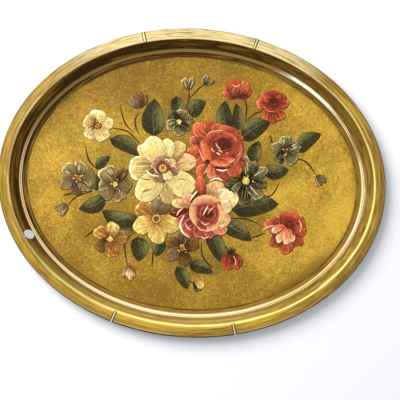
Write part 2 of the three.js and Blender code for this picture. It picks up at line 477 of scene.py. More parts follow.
def rim_gold(finish, colours, east, north, inset, drag, fine, band, upper_left_shade):
    """The rim's colours by the distance in from its outer edge, with painted light on one side and painted
    shade on the other, and painted highlights along the ridge and the bead.
    """
    tan, bronze = mixed(colours, "gold", 0.66, "umber"), mixed(colours, "gold", 0.35, "umber")
    beige, drab = mixed(colours, "straw", 0.42, "gold_dark"), mixed(colours, "gold", 0.85, "leaf")
    pale, moss = mixed(colours, "straw", 0.62, "gold"), mixed(colours, "gold", 0.45, "leaf")
    rust = mixed(colours, "gold_dark", 0.75, "umber")
    gold, light, umber = shade_of(colours.gold), shade_of(colours.gold_light), shade_of(colours.umber)
    straw, lemon, white = shade_of(colours.straw), shade_of(colours.lemon), shade_of(colours.shine)
    black, dark, umber_deep = (shade_of(colours.umber, share) for share in (0.12, 0.5, 0.9))
    # Lit and shaded copies of the rim's colours, as painted light and painted shade. Both paint highlights
    # along the ridge and the bead; the lit copy has a highlight along the top of the roll, and its black
    # outer edge is the roll's painted shade.
    lit_side = rim_stops([
        (0.0, black), (1.8, black), (2.6, pale), (3.8, gold), (6.4, drab), (8.2, drab), (10.6, light),
        (12.2, gold), (14.6, light), (15.6, light), (16.3, lemon), (17.9, lemon), (19.0, light), (20.4, tan),
        (22.2, beige), (24.2, tan), (26.8, tan), (27.3, beige), (28.0, white), (31.0, white), (31.6, light),
        (32.8, tan), (34.2, bronze), (35.4, tan), (36.6, bronze), (37.6, umber), (38.8, dark), (39.8, gold)])
    shaded_side = rim_stops([
        (0.0, umber), (1.4, bronze), (3.4, drab), (6.6, gold), (8.4, drab), (10.6, light), (12.8, drab),
        (16.9, pale), (17.4, bronze), (18.2, umber), (20.6, bronze), (22.4, umber), (24.6, dark),
        (26.4, umber), (27.4, bronze), (27.9, straw), (28.9, straw), (29.3, bronze), (30.1, bronze),
        (30.5, straw), (31.0, straw), (31.6, dark), (34.8, dark), (35.8, bronze), (37.2, dark),
        (38.6, bronze), (40.0, gold)])
    share = (inset + (drag - 0.5) * 0.9) / RIM_REACH
    shaded, lit = (finish.node("ShaderNodeValToRGB", {"stops": stops}, {"Fac": share})
                   for stops in (shaded_side, lit_side))
    # Painted light towards the front and the right, painted shade towards the back and the left
    lit_share = (east * 1.1 - north * 2.2 + (drag - 0.5) * 0.4).ramp(-0.12, 0.42)
    # Where the ridge and the bead carry their painted highlights
    bright = (inset.peak(29.6, 3.6) * 2.5).least(1.0).most(inset.peak(17.1, 1.6))
    wall = inset.ramp(17.3, 18.4) * (1 - bright)
    bead = (inset.peak(29.0, 3.6) * 2.0).least(1.0)
    # Masks for painted highlights and painted shade along the bead at the right
    right = north - east * 0.5 + (drag - 0.5) * 0.06
    gap = right.peak(-0.050, 0.035) * east.ramp(0.10, 0.20)
    glow = north.peak(-0.008, 0.055) * east.ramp(0.15, 0.22) * inset.peak(28.4, 4.6)
    glint = (right.peak(0.060, 0.060) * 2.0).least(1.0) * east.ramp(0.03, 0.10)
    brown_band = (drag * 1.3 + east * 0.75 - 0.20).ramp(0.48, 0.66, 0.0, 0.75)
    brown_band = brown_band * inset.ramp(14.5, 16.0, 1.0, 0.0)
    # A pale painted highlight on the band at the back, streaked
    back_band_highlight = (north + east * 0.15 + (drag - 0.5) * 0.25).ramp(0.10, 0.19, 0.0, 0.62)
    back_band_highlight = back_band_highlight * (1 - east.ramp(0.13, 0.20)) * fine.ramp(0.42, 0.56, 1.0, 0.4)
    return layered(
        finish, finish.mix(lit_share, shaded, lit),
        # Painted shade on the wall at the back
        ((north + (drag - 0.5) * 0.3).ramp(0.0, 0.10, 0.0, 0.9) * wall, shade_of(colours.umber, 0.8)),
        # Painted light on the wall at the right
        ((east * 1.2 + north * 0.3 + (drag - 0.5) * 0.9).ramp(0.14, 0.30, 0.0, 0.55) * wall, tan),
        # Painted shade over the bead at the upper left
        (upper_left_shade * (inset.peak(29.5, 3.2) * 2.0).least(1.0), bronze),
        # A softer painted highlight on the bead at the lower right
        (east.ramp(0.08, 0.16) * north.ramp(-0.09, -0.05, 0.6, 0.0) * bead, light),
        # Painted shade between the bead's painted highlights at the right
        (gap * bead * 0.75, bronze),
        # A wide painted sheen on the bead at the right
        (glow * 0.9, straw),
        # A painted glint on the bead at the upper right
        (glint * bead, white),
        (fine.ramp(0.44, 0.56, 0.0, 0.6) * wall * east.ramp(0.10, 0.20), umber_deep),
        # Olive streaks on the band at the left, which also paint shade over it there
        (drag.ramp(0.40, 0.54, 0.15, 0.75) * east.ramp(-0.16, -0.08, 1.0, 0.0) * band, moss),
        ((drag * 1.4 + east * 0.6 - 0.35).ramp(0.40, 0.56, 0.0, 0.55) * wall, bronze),
        (drag.ramp(0.38, 0.47, 0.6, 0.0) * wall, tan),
        (brown_band * band, rust),
        # The painted highlight on the band at the back
        (back_band_highlight * band, shade_of(colours.frost)),
        (fine.ramp(0.50, 0.66, 0.0, 0.5) * (1 - bright), umber_deep),
        (fine.ramp(0.34, 0.45, 0.35, 0.0) * band, pale))


def underside_lacquer(colours):
    """Plain dark lacquer with brush marks and dust in it."""
    finish = Finish("underside_lacquer", coat=0.35, coat_roughness=0.2)
    spot = finish.place()
    cloud = finish.noise(spot, 24.0, 5.0)
    brushed = finish.noise(finish.place((14.0, 420.0, 14.0), (0.0, 0.0, 0.3)), 1.0, 3.0)
    base = finish.mix((cloud * 0.5 + brushed * 0.5).ramp(0.35, 0.65), shade_of(colours.underside),
                      shade_of(colours.underside, 2.4))
    scuff = finish.noise(spot, 130.0, 5.0, 0.7).ramp(0.63, 0.72, 0.0, 0.5)
    base = finish.mix(scuff, base, shade_of(colours.umber, 1.3))
    finish.set("Base Color", base)
    finish.set("Roughness", (cloud + brushed).ramp(0.7, 1.3, 0.34, 0.55))
    finish.bump(brushed + cloud, 0.2, 0.0003)
    return finish


class PAINTEDTRAY_OT_pan(bpy.types.Operator):
    """Press the pan: rings drawn in from the rolled edge to the floor, then given their thickness"""

    bl_idname = "painted_tray.pan"
    bl_label = "Tray pan"

    def execute(self, context):
        size = context.scene.tray_sizes
        colours = context.scene.tray_colours
        face = section(size)[::-1]
        long_side, short_side = size.half_length, size.half_width
        pan = begin_circle(ROUND_STEPS, "NOTHING")
        rings = [(p.x, long_side - p.x, short_side - p.x, p.y) for p in face]
        edge = face[-1]
        for share in FLOOR_RINGS:
            across = (long_side - edge.x) * share
            rings.append((long_side - across, across, (short_side - edge.x) * share, edge.y))
        before = (0.0, 1.0, 1.0, 0.0)
        for step, ring in enumerate(rings):
            if step:
                bpy.ops.mesh.extrude_edges_move()
            wider, deeper = ring[1] / before[1], ring[2] / before[2]
            bpy.ops.transform.resize(value=(wider, deeper, 1.0), center_override=ORIGIN)
            bpy.ops.transform.translate(value=(0.0, 0.0, ring[3] - before[3]))
            before = ring
        bpy.ops.mesh.edge_face_add()
        end_outward()
        middle = min(pan.data.polygons, key=lambda p: p.center.length)
        if middle.normal.z < 0:
            pan.data.flip_normals()
        inset = pan.data.attributes.new("inset", "FLOAT", "POINT")
        inset.data.foreach_set("value", [ring[0] for ring in rings for _ in range(ROUND_STEPS)])
        finished(pan, "tray_body", "gold_lacquer", gold_ground(colours), underside_lacquer(colours))
        apply_modifier(pan, "SOLIDIFY", thickness=size.sheet, offset=-1.0, use_even_offset=True,
                       material_offset=1, material_offset_rim=1)
        bpy.ops.object.shade_smooth_by_angle(angle=math.radians(40))
        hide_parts("tray_pan")
        return {"FINISHED"}


# The straps, the wire and the sticker

STRAP_ANGLES = (73.0, 108.0, 249.0, 286.0)
STRAP_NAMES = ("back_right", "back_left", "front_left", "front_right")
STRAP_SIDES = 14
STRAP_SINK = 0.5 * MM
STRAP_FLARE = 0.4
STRAP_ROLL_POINTS = 6
STICKER_SIDES = 48
STICKER_RINGS = (0.04, 0.16, 0.25, 0.25)
STICKER_PAPER = 0.15 * MM
STICKER_LIFT = 0.35 * MM
STICKER_ANGLE = math.radians(207.6)


def strap_brass(colours):
    """Gold lacquer with a painted highlight along its crown and painted shade down its sides where it meets
    the band, flecked with dark grime.
    """
    finish = Finish("strap_gold", coat=0.8, coat_roughness=0.14)
    side = finish.node("ShaderNodeAttribute", {"attribute_name": "crown"}, {}, "Fac")
    spot = finish.place()
    grime = finish.noise(spot, 700.0, 4.0)
    # Painted shade down the strap's sides
    base = finish.mix(side.ramp(0.70, 0.92), shade_of(colours.umber, 0.3), shade_of(colours.gold))
    # Painted highlight along the crown
    base = finish.mix((side + (grime - 0.5) * 0.1).ramp(0.86, 0.97), base, shade_of(colours.frost))
    base = finish.mix(grime.ramp(0.56, 0.7, 0.0, 0.5), base, shade_of(colours.gold_dark))
    finish.set("Base Color", base)
    finish.set("Roughness", grime.ramp(0.3, 0.7, 0.24, 0.45))
    finish.bump(grime, 0.25, 0.0002)
    return finish


def bare_steel(colours):
    finish = Finish("bare_steel", metallic=0.9)
    dull = finish.noise(finish.place(), 300.0, 5.0)
    rusty = shade_of(colours.umber, 0.9)
    finish.set("Base Color", finish.mix(dull.ramp(0.4, 0.65), shade_of(colours.steel), rusty))
    finish.set("Roughness", dull.ramp(0.3, 0.7, 0.35, 0.65))
    return finish


def sticker_paper(colours):
    """White paper with fibres, with a painted cool shade in the middle and painted shade darker towards the
    edge.
    """
    finish = Finish("sticker_paper", roughness=0.75)
    side = finish.node("ShaderNodeAttribute", {"attribute_name": "crown"}, {}, "Fac")
    fibres = finish.noise(finish.place(), 900.0, 4.0, 0.7)
    paper, shaded = shade_of(colours.paper), shade_of(colours.paper, 0.9)
    # Painted shade, darker towards the edge
    base = finish.mix((fibres + side * 0.3).ramp(0.4, 0.9), paper, shaded)
    # A painted cool shade in the middle
    finish.set("Base Color", finish.mix(side.ramp(0.55, 0.9, 0.12, 0.0), base, (0.35, 0.42, 0.62, 1.0)))
    finish.bump(fibres, 0.2, 0.0001)
    return finish


def number_attribute(piece, name, values):
    made = piece.data.attributes.new(name, "FLOAT", "POINT")
    made.data.foreach_set("value", values)


class PAINTEDTRAY_OT_straps(bpy.types.Operator):
    """Draw one strap along the section from the ridge round the rolled edge, then copy it four times"""

    bl_idname = "painted_tray.straps"
    bl_label = "Rim straps"

    def execute(self, context):
        size = context.scene.tray_sizes
        finish = strap_brass(context.scene.tray_colours)
        strap = self.draw_strap(size)
        for name, angle in zip(STRAP_NAMES, STRAP_ANGLES):
            turn = math.radians(angle)
            made = strap.copy()
            made.data = strap.data.copy()
            context.collection.objects.link(made)
            made.location = (size.half_length * math.cos(turn), size.half_width * math.sin(turn), 0.0)
            made.rotation_euler = (0.0, 0.0, turn)
            finished(made, "strap_" + name, "strap_gold", finish)
            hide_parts("rim_strap_" + name)
        bpy.data.objects.remove(strap)
        return {"FINISHED"}

    def draw_strap(self, size):
        """One strap across a rim that runs along Y, with its outer edge at X 0."""
        steps = 5
        whole = section(size, steps)[:STRAP_ROLL_POINTS - 3 * steps]
        path = [Vector((-p.x, 0.0, p.y)) for p in whole if p.x < size.ridge + 0.8 * MM]
        deselect_all()
        bpy.ops.mesh.primitive_circle_add(vertices=STRAP_SIDES, radius=1.0, fill_type="NGON",
                                          rotation=(0.0, math.pi / 2, 0.0))
        strap = bpy.context.object
        bpy.ops.object.transform_apply(rotation=True)
        shares = [0.45, 0.8] + [1.0] * (len(path) - 4) + [0.8, 0.4]
        bpy.ops.object.mode_set(mode="EDIT")
        bpy.ops.mesh.select_all(action="SELECT")
        for _ in shares[1:]:
            bpy.ops.mesh.extrude_region_move(TRANSFORM_OT_translate={"value": (1.0, 0.0, 0.0)})
        end_outward()
        half_height = (size.strap_rise + STRAP_SINK) / 2
        number_attribute(strap, "crown", [vertex.co.z for vertex in strap.data.vertices])
        for vertex in strap.data.vertices:
            ring = round(vertex.co.x)
            ahead = (path[min(ring + 1, len(path) - 1)] - path[max(ring - 1, 0)]).normalized()
            out = Vector((-ahead.z, 0.0, ahead.x))
            flare = 1.0 + STRAP_FLARE * (1.0 - max(vertex.co.z, 0.0))
            across = Vector((0.0, vertex.co.y * flare * size.strap_width / 2 * shares[ring], 0.0))
            height = half_height - STRAP_SINK + vertex.co.z * half_height * shares[ring]
            vertex.co = path[ring] + across + out * height
        strap.data.update()
        bpy.context.view_layer.objects.active = strap
        bpy.ops.object.shade_smooth_by_angle(angle=math.radians(60))
        return strap


class PAINTEDTRAY_OT_sticker(bpy.types.Operator):
    """Cut the blank paper dot and press it on the wall"""

    bl_idname = "painted_tray.sticker"
    bl_label = "Price sticker"

    def execute(self, context):
        size = context.scene.tray_sizes
        foot = Vector((size.wall_foot, size.wall_foot_height))
        top = Vector((size.wall_top, size.wall_top_height))
        slope = (top - foot).normalized()
        middle = (foot + top) / 2
        sticker = begin_circle(STICKER_SIDES)
        for thickness in STICKER_RINGS:
            bpy.ops.mesh.inset(thickness=thickness)
        bpy.ops.object.mode_set(mode="OBJECT")
        number_attribute(sticker, "crown", [vertex.co.length for vertex in sticker.data.vertices])
        for vertex in sticker.data.vertices:
            away = vertex.co.length
            spot = middle + slope * vertex.co.y * size.sticker_radius
            turn = STICKER_ANGLE + vertex.co.x * size.sticker_radius / size.half_length
            lift = STICKER_LIFT * (0.6 + 0.5 * away ** 6 * (1 + vertex.co.x) / 2)
            inset = spot.x + slope.y * lift
            vertex.co = ((size.half_length - inset) * math.cos(turn),
                         (size.half_width - inset) * math.sin(turn), spot.y - slope.x * lift)
        sticker.data.update()
        finished(sticker, "sticker", "sticker_paper", sticker_paper(context.scene.tray_colours))
        apply_modifier(sticker, "SOLIDIFY", thickness=STICKER_PAPER, offset=0.0)
        bpy.ops.object.shade_smooth_by_angle(angle=math.radians(40))
        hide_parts("price_sticker")
        return {"FINISHED"}


class PAINTEDTRAY_OT_wire(bpy.types.Operator):
    """Give the wire inside the rolled edge its bare steel"""

    bl_idname = "painted_tray.wire"
    bl_label = "Rim wire"

    def execute(self, context):
        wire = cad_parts["rim_wire"]
        wire.data.materials.clear()
        wire.data.materials.append(bare_steel(context.scene.tray_colours).material)
        return {"FINISHED"}


# Brush marks

FLOOR_SINK = 0.06 * MM
LIGHT_SIDE = math.radians(140)
PETAL_SIDES = 26
PETAL_RINGS = (0.05, 0.08, 0.16, 0.23, 0.24)
PETAL_ROOT = 0.16
DAB_SIDES, DAB_RINGS = 12, (0.25,)
DAB_RADIUS = 2.0
STRIP_ACROSS, STRIP_ALONG = 12, 9
LINE_ACROSS, LINE_ALONG = 2, 14
HAIR_ACROSS, HAIR_ALONG = 1, 5
HAIR_LANE = 2.3
HAIR_TAPER = 0.9
OUTLINE_SHIFT, OUTLINE_SPREAD = 0.45, 1.5
ARC_LIGHT = 0.75
LEAF_FULLNESS = 1.2
LEAF_HAIRS = 9
GRAIN_ALONG = 0.16

# Each tone is its root, belly, edge and rim
TONES = {
    "cream": ("wheat", "cream", "cream", "white"),
    "cream_warm": ("brown", "wheat", "cream", "white"),
    "wheat": ("brown", "wheat", "wheat", "cream"),
    "blossom": ("peach", "blossom", "cream", "white"),
    "bowl": ("crimson", "pink", "peach", "blush"),
    "rosefold": ("maroon", "crimson", "rose", "pink"),
    "fold": ("maroon", "crimson", "red", "coral"),
    "fold_lit": ("maroon", "crimson", "brick", "coral_light"),
    "lit": ("crimson", "coral", "coral_light", "blush"),
    "brick": ("maroon", "crimson", "brick", "coral"),
    "pale_rose": ("coral", "pink", "blush", "white"),
    "sage": ("leaf_dark", "leaf", "sage", "lilac"),
    "dusk": ("maroon", "dusk", "dusk", "blossom"),
    "peach": ("brown", "peach", "peach", "blush"),
    "striped": ("brown", "lilac", "cream", "white"),
    "pink": ("crimson", "pink", "pink", "blush"),
    "rosy": ("crimson", "rose", "pink", "blush"),
    "flame": ("red", "coral", "coral_light", "blush"),
    "coral": ("maroon", "brick", "coral", "coral_light"),
    "red": ("maroon", "red", "brick", "coral"),
    "crimson": ("maroon", "crimson", "rose", "pink"),
    "maroon": ("maroon", "maroon", "maroon", "crimson"),
    "gold": ("orange", "yellow", "yellow", "cream"),
    "amber": ("brown", "orange", "orange", "yellow"),
    "lilac": ("plum", "mauve", "lilac", "cream"),
    "mauve": ("plum", "mauve", "mauve", "lilac"),
    "plum": ("stem", "plum", "plum", "lilac"),
    "grey": ("leaf", "sage", "sage", "straw"),
    "bud": ("leaf_dark", "leaf", "sage", "leaf_light"),
    "brown": ("stem", "brown", "brown", "mauve"),
    "amber_dark": ("stem", "brown", "brown", "stem"),
    "dark": ("stem", "leaf_dark", "leaf_dark", "leaf_dark"),
}

# The outline laid under a petal of each tone, dark where none is named
OUTLINES = dict.fromkeys(("flame", "coral", "red", "crimson", "rosy", "pink", "brick", "pale_rose"), "maroon")
OUTLINES |= dict.fromkeys(("cream", "cream_warm", "wheat", "blossom", "peach", "gold", "amber"), "amber_dark")


def blend(first, second, share):
    return tuple(a + (b - a) * share for a, b in zip(first, second))


def smooth(low, high, value):
    t = min(max((value - low) / (high - low), 0.0), 1.0)
    return t * t * (3.0 - 2.0 * t)


def slab():
    """Gives the flat template being edited a depth, with one face underneath."""
    bpy.ops.mesh.select_all(action="SELECT")
    bpy.ops.mesh.extrude_region_move(TRANSFORM_OT_translate={"value": (0.0, 0.0, 1.0)})
    end_outward()
    made = bpy.context.object
    for face in made.data.polygons:
        face.select = max(made.data.vertices[i].co.z for i in face.vertices) < 0.5
    bpy.ops.object.mode_set(mode="EDIT")
    bpy.ops.mesh.select_mode(type="FACE")
    bpy.ops.mesh.dissolve_faces()
    bpy.ops.object.mode_set(mode="OBJECT")
    bpy.context.collection.objects.unlink(made)
    return made


def round_template(sides, rings):
    begin_circle(sides)
    for ring in rings:
        bpy.ops.mesh.inset(thickness=ring * math.cos(math.pi / sides))
    bpy.ops.mesh.poke()
    return slab()


def strip_template(across, along):
    deselect_all()
    bpy.ops.mesh.primitive_grid_add(x_subdivisions=across, y_subdivisions=along, size=2.0)
    bpy.ops.object.mode_set(mode="EDIT")
    return slab()


class Painter:
    """Lays brush marks on the tray's floor in millimetres, each a little above the one before."""

    templates = {}

    def __init__(self, x, y, level, seed, turn=4.0, scale=1.0):
        self.colours = bpy.context.scene.tray_colours
        self.step = bpy.context.scene.tray_sizes.paint_step
        self.floor = bpy.context.scene.tray_sizes.sheet
        self.origin = (x, y)
        self.turn = math.radians(turn)
        self.scale = scale
        self.level = level * MM
        self.chance = random.Random(seed)
        self.marks = []
        if not Painter.templates:
            Painter.templates = {
                "petal": round_template(PETAL_SIDES, PETAL_RINGS),
                "outline": round_template(PETAL_SIDES, ()),
                "dab": round_template(DAB_SIDES, DAB_RINGS),
                "strip": strip_template(STRIP_ACROSS, STRIP_ALONG),
                "line": strip_template(LINE_ACROSS, LINE_ALONG),
                "hair": strip_template(HAIR_ACROSS, HAIR_ALONG),
            }

    def rgb(self, *names):
        return [tuple(getattr(self.colours, name)) for name in names]

    def lay(self, template, place, rise=1):
        """Copies a template and puts each corner where place says, with its colour and its grain."""
        source = Painter.templates[template]
        mark = source.copy()
        mark.data = source.data.copy()
        bpy.context.collection.objects.link(mark)
        cos_turn, sin_turn = math.cos(self.turn), math.sin(self.turn)
        self.level += self.step * rise
        seed = self.chance.uniform(0.0, 90.0)
        paint, grain, flat = [], [], []
        for vertex in source.data.vertices:
            (x, y), shade, (across, along) = place(vertex.co.x, vertex.co.y)
            x, y = x * self.scale, y * self.scale
            height = self.floor + self.level if vertex.co.z > 0.5 else self.floor - FLOOR_SINK
            flat += ((self.origin[0] + x * cos_turn - y * sin_turn) * MM,
                     (self.origin[1] + x * sin_turn + y * cos_turn) * MM, height)
            paint += (*shade, 1.0)
            grain += (across, along, seed)
        mark.data.vertices.foreach_set("co", flat)
        mark.data.attributes.new("paint", "FLOAT_COLOR", "POINT").data.foreach_set("color", paint)
        mark.data.attributes.new("grain", "FLOAT_VECTOR", "POINT").data.foreach_set("vector", grain)
        mark.data.update()
        self.marks.append(mark)

    def petal(self, x, y, angle, length, width, tone, rim=1.0, wave=0.06, swell=0.22, heel=0.0,
              outline=0.6, hairs=1.0):
        """A round-ended petal with its root at x, y, over an outline that shows most at the lower right."""
        state = self.chance.getstate()
        if outline:
            shift = OUTLINE_SHIFT * outline
            self.blade(x + shift, y - shift, angle, length + outline, width + OUTLINE_SPREAD * outline,
                       OUTLINES.get(tone, "dark"), 0.0, wave, swell, heel, "outline")
            self.chance.setstate(state)
        self.blade(x, y, angle, length, width, tone, rim, wave, swell, heel)
        self.hairs(x, y, angle, length, width, tone, hairs)

    def hairs(self, x, y, angle, length, width, tone, share):
        """Strokes of a dry brush along a petal, side by side in their lanes at one level."""
        root, belly, edge, light = TONES[tone]
        aim = Vector((math.cos(math.radians(angle)), math.sin(math.radians(angle))))
        side = Vector((-aim.y, aim.x))
        count = round(width / HAIR_LANE * share)
        for i in range(count):
            lane = (i + self.chance.uniform(0.2, 0.8)) / count * 1.7 - 0.85
            start, end = self.chance.uniform(0.2, 0.5), self.chance.uniform(0.7, 0.9)
            spots = []
            for t in (start, (start + end) / 2, end):
                bow = math.sqrt(1.0 - (2.0 * t - 1.0) ** 2) * (0.8 + 0.4 * t)
                spots.append(tuple(Vector((x, y)) + aim * length * t + side * lane * width * 0.42 * bow))
            shade = self.chance.choice((light, edge, edge, belly, root))
            self.line(spots, self.chance.uniform(0.4, 0.9), shade, HAIR_TAPER,
                      self.chance.uniform(0.85, 1.0), "hair", 1 if i == 0 else 0)

    def blade(self, x, y, angle, length, width, tone, rim, wave, swell, heel, template="petal"):
        """One petal's shape. heel slides the root shade back from the edge."""
        root, belly, edge, light = self.rgb(*TONES[tone])
        aim = math.radians(angle)
        lobes, phase = self.chance.choice((3, 4, 5)), self.chance.uniform(0, 6.3)
        wobble = [self.chance.uniform(-0.09, 0.09) for _ in range(PETAL_SIDES)]
        push = self.chance.uniform(-0.06, 0.06)

        def place(p, q):
            t = min(math.hypot(p, q) * 1.0001, 1.0)
            around = math.atan2(q, p)
            tip = 0.5 + 0.5 * math.cos(around)
            frill = 1.0 + wave * math.cos(lobes * around + phase) * tip
            out = length * (0.5 + 0.5 * math.cos(around) * frill)
            side = width * 0.5 * math.sin(around) * (1.0 + swell * math.cos(around)) * frill
            side += push * width * tip
            start = PETAL_ROOT * length
            out, side = start + (out - start) * t, side * t
            spot = (x + out * math.cos(aim) - side * math.sin(aim),
                    y + out * math.sin(aim) + side * math.cos(aim))
            reach = min(max(out / length, 0.0), 1.0) - heel
            shade = blend(root, belly, smooth(0.12, 0.80, reach))
            shade = blend(shade, edge, smooth(0.55, 0.98, reach) * 0.9)
            lit = 0.5 + 0.5 * math.cos(around + aim - LIGHT_SIDE)
            ray = wobble[int((around / math.tau) * PETAL_SIDES) % PETAL_SIDES]
            glow = smooth(0.86, 0.98, t) * rim * (0.1 + 0.7 * lit + 4.0 * ray)
            glow *= smooth(0.05, 0.4, reach + heel)
            shade = blend(shade, light, min(max(glow, 0.0), 1.0))
            shade = tuple(c * (1.0 + 2.4 * ray * t + 0.4 * (lit - 0.5) * t) for c in shade)
            return spot, shade, (math.atan2(side, out + 0.1) * width * 0.5, out * GRAIN_ALONG)

        self.lay(template, place)

    def dot(self, x, y, radius, tone, rim=0.6, squash=1.0):
        """A round dab, or an oval one where squash is below 1."""
        self.blade(x - radius, y, 0.0, 2.0 * radius, 2.0 * radius * squash, tone, rim, 0.03, 0.0, -0.3,
                   "dab" if radius < DAB_RADIUS else "petal")

    def ring(self, radius, count, size, tone):
        """Dots evenly round the middle."""
        for i in range(count):
            turn = i * math.tau / count
            self.dot(radius * math.cos(turn), radius * math.sin(turn), size, tone)

    def arc(self, x, y, inner, outer, start, end, tone, squash=1.0):
        """A crescent round x, y between two radii, tapering to its ends, with its light edge outside."""
        root, belly, edge, light = self.rgb(*TONES[tone])
        middle, half = math.radians((start + end) / 2), math.radians((end - start) / 2)
        wobble = [self.chance.uniform(-0.1, 0.1) for _ in range(STRIP_ACROSS + 1)]

        def place(p, q):
            t = smooth(0.0, 1.0, (q + 1.0) / 2.0)
            turn = middle + half * p
            full = max(1.0 - abs(p) ** 2.6, 0.0) ** 0.5
            radius = outer + ((inner + (outer - inner) * t) - outer) * full
            spot = (x + radius * math.cos(turn), y + radius * math.sin(turn) * squash)
            shade = blend(root, belly, smooth(0.0, 0.45, t))
            shade = blend(shade, edge, smooth(0.4, 0.9, t))
            shade = blend(shade, light, smooth(0.9, 0.985, t) * ARC_LIGHT)
            shade = blend(shade, root, 0.3 * smooth(0.7, 1.0, abs(p)))
            ray = wobble[round((p + 1.0) / 2.0 * STRIP_ACROSS)]
            shade = tuple(c * (1.0 + ray) for c in shade)
            return spot, shade, (p * half * outer, (outer - inner) * t * GRAIN_ALONG)

        self.lay("strip", place)

    def leaf(self, base, tip, width, lit_half, bend, rib):
        """A pointed leaf. lit_half is the lighter half, 1 or -1, and rib is the midrib's shade."""
        dark, main, light, stem = self.rgb("leaf_dark", "leaf", "leaf_light", "stem")
        ahead = Vector((tip[0] - base[0], tip[1] - base[1]))
        size = ahead.length
        ahead.normalize()
        side = Vector((-ahead.y, ahead.x))
        swell = self.chance.uniform(0.66, 0.84)
        mottle = [self.chance.uniform(-0.15, 0.15) for _ in range(STRIP_ALONG + 1)]

        def spine(t):
            return Vector(base) + ahead * (size * t) + side * (bend * size * math.sin(math.pi * t))

        def place(p, q):
            t = (q + 1.0) / 2.0
            girth = max(math.sin(math.pi * t ** swell), 0.0) ** 0.66 + 0.02
            spot = spine(t) + side * (p * LEAF_FULLNESS * width / 2 * girth)
            spot += ahead * (0.06 * size * abs(p) * (1 - t))
            glow = smooth(0.0, 0.8, p * lit_half)
            shade = blend(dark, main, smooth(0.0, 0.45, t) * 0.7 + 0.3)
            shade = blend(shade, light, glow * smooth(0.08, 0.35, t) * (1 - smooth(0.55, 0.95, t)))
            shade = blend(shade, stem, smooth(0.78, 1.0, abs(p)) * 0.6)
            shade = tuple(c * (1.0 + mottle[round(t * STRIP_ALONG)]) for c in shade)
            return (spot.x, spot.y), shade, (p * width / 2 * girth, t * size)

        self.lay("strip", place)
        for i in range(LEAF_HAIRS):
            t, out = self.chance.uniform(0.15, 0.7), self.chance.uniform(0.25, 0.75) * lit_half
            reach = 0.5 * width * math.sin(math.pi * t) * out
            spots = [tuple(spine(t + 0.12 * k) + side * reach * (0.4 + 0.6 * k)) for k in (0, 0.5, 1)]
            self.line(spots, self.chance.uniform(0.6, 1.2), "leaf_light", HAIR_TAPER,
                      self.chance.uniform(0.7, 1.2), "hair", 1 if i == 0 else 0)
        if rib:
            self.line([tuple(spine(t)) for t in (0.04, 0.3, 0.6, 0.8)], 1.0, rib, 0.8, 0.8)

    def stroke(self, width, shade, *spots):
        """A line through spots given as x, y, x, y and so on."""
        self.line(list(zip(spots[::2], spots[1::2])), width, shade)

    def line(self, points, width, shade, taper=0.75, strength=1.0, template="line", rise=1):
        """A tapering line through the points."""
        rgb = tuple(c * strength for c in getattr(self.colours, shade))
        knots = [Vector(points[0])] + [Vector(p) for p in points] + [Vector(points[-1])]
        length = sum((b - a).length for a, b in zip(knots, knots[1:]))

        def along(t):
            place = t * (len(points) - 1)
            i = min(int(place), len(points) - 2)
            k = place - i
            a, b, c, d = knots[i:i + 4]
            square, cube = 2 * a - 5 * b + 4 * c - d, 3 * b - a - 3 * c + d
            return 0.5 * (2 * b + (c - a) * k + square * k * k + cube * k ** 3)

        def place(p, q):
            t = (q + 1.0) / 2.0
            heading = along(min(t + 0.02, 1.0)) - along(max(t - 0.02, 0.0))
            normal = Vector((-heading.y, heading.x)).normalized()
            girth = 1.0 - taper * abs(2.0 * t - 1.0) ** 2
            spot = along(t) + normal * (p * width / 2 * girth)
            return (spot.x, spot.y), rgb, (p * width / 2, t * length * GRAIN_ALONG)

        self.lay(template, place, rise)


def join_marks(name, finish, painter):
    """Joins a painter's marks into one piece."""
    deselect_all()
    for mark in painter.marks:
        mark.select_set(True)
    bpy.context.view_layer.objects.active = painter.marks[0]
    bpy.ops.object.join()
    finished(painter.marks[0], name, "flower_paint", finish)


def paint_finish(name, hairs, depth, veins=0.0):
    """Oil paint in its attribute's colour, with brush hairs along each stroke and old varnish over it."""
    finish = Finish(name, coat=0.03, coat_roughness=0.2)
    finish.set("Specular IOR Level", FAINT_SPECULAR)
    paint = finish.node("ShaderNodeAttribute", {"attribute_name": "paint"}, {}, "Color")
    grain = finish.node("ShaderNodeAttribute", {"attribute_name": "grain"}, {}, "Vector")
    hair = finish.noise(grain, hairs, 4.0, 0.6)
    spot = finish.place()
    cloud = finish.noise(spot, 160.0, 4.0, 0.6)
    speck = finish.noise(spot, 640.0, 2.0, 0.7)
    low = finish.mix(1.0, paint, (1 - depth, 1 - 1.15 * depth, 1 - 1.25 * depth, 1.0), "MULTIPLY")
    high = finish.mix(1.0, paint, (1 + depth, 1 + 0.95 * depth, 1 + 0.8 * depth, 1.0), "MULTIPLY")
    base = finish.mix((hair * 0.75 + cloud * 0.25).ramp(0.40, 0.60), low, high)
    if veins:
        across, along = finish.axis(grain, "X").size(), finish.axis(grain, "Y")
        lane = ((along - across * 0.9) * 0.21 + hair * 0.25).fraction()
        base = finish.mix(lane.peak(0.5, 0.2) * veins * cloud.ramp(0.35, 0.6), base, (0.26, 0.24, 0.09, 1.0))
    base = layered(finish, base, (speck.ramp(0.60, 0.70, 0.0, 0.35), (0.50, 0.33, 0.07, 1.0)),
                   (speck.ramp(0.30, 0.38, 0.35, 0.0), (0.09, 0.045, 0.012, 1.0)))
    finish.set("Base Color", base)
    finish.set("Roughness", cloud.ramp(0.3, 0.7, 0.38, 0.55))
    finish.bump(hair * 0.7 + speck * 0.3, 0.4, 0.00025)
    return finish


# The bouquet, in millimetres on the tray's floor

STEM_WIDTH = 2.3
SMALL_LEVEL, SMALL_SEED = 0.20, 30
STAMENS = 6
ROSEBUDS = ("bud_top", "bud_back", "bud_side", "bud_low")

